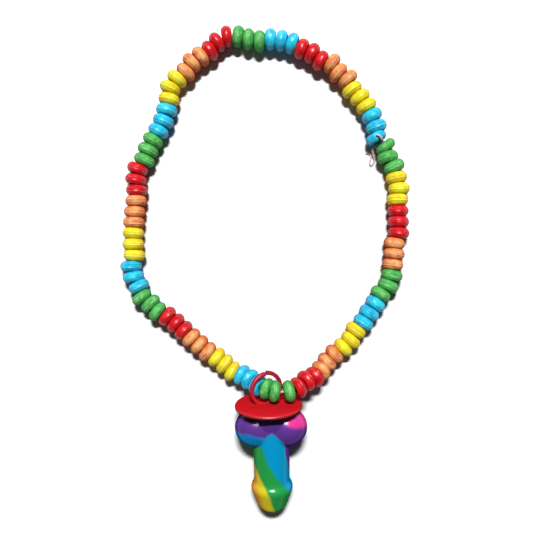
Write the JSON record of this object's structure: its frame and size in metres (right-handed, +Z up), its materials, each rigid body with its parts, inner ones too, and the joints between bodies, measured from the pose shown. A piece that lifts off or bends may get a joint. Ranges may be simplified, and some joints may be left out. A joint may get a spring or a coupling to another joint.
{
  "type": "candy necklace with pendant",
  "caption": "Necklace of pressed candy beads in five colours on a knotted elastic string, with a marbled hard candy pendant of adult novelty shape in a red plastic holder, lying flat.",
  "frame": {"origin": "middle of the part's outline, on the surface it lies on", "axes": "+Y along the oval of beads, away from the pendant; +Z up, away from the surface; +X to the right with the pendant at the bottom"},
  "size_m": [0.1615, 0.2699, 0.0361],
  "materials": {
    "bead_green": "pressed sugar tablet, satin",
    "bead_red": "pressed sugar tablet, semi-gloss",
    "bead_orange": "pressed sugar tablet, satin",
    "bead_yellow": "pressed sugar tablet, satin",
    "bead_blue": "pressed sugar tablet, semi-gloss",
    "string": "covered elastic, matt",
    "holder_red": "moulded, glossy",
    "candy_rainbow": "cast boiled sugar, glossy, marbled in five colours"
  },
  "bodies": {
    "root": {"beads_01_green": "bead_green", "beads_02_red": "bead_red", "beads_03_orange": "bead_orange", "beads_04_yellow": "bead_yellow", "beads_05_blue": "bead_blue", "beads_06_green": "bead_green", "beads_07_orange": "bead_orange", "beads_08_red": "bead_red", "beads_09_yellow": "bead_yellow", "beads_10_green": "bead_green", "beads_11_blue": "bead_blue", "beads_12_yellow": "bead_yellow", "beads_13_orange": "bead_orange", "beads_14_red": "bead_red", "beads_15_blue": "bead_blue", "beads_16_green": "bead_green", "beads_17_red": "bead_red", "beads_18_orange": "bead_orange", "beads_19_yellow": "bead_yellow", "beads_20_blue": "bead_blue", "beads_21_green": "bead_green", "beads_22_red": "bead_red", "beads_23_orange": "bead_orange", "beads_24_yellow": "bead_yellow", "beads_25_blue": "bead_blue", "beads_26_green": "bead_green", "beads_27_red": "bead_red", "beads_28_orange": "bead_orange", "beads_29_yellow": "bead_yellow", "beads_30_blue": "bead_blue", "beads_31_green": "bead_green", "elastic_string": "string", "holder": "holder_red", "pendant_candy": "candy_rainbow"}
  },
  "joints": []
}
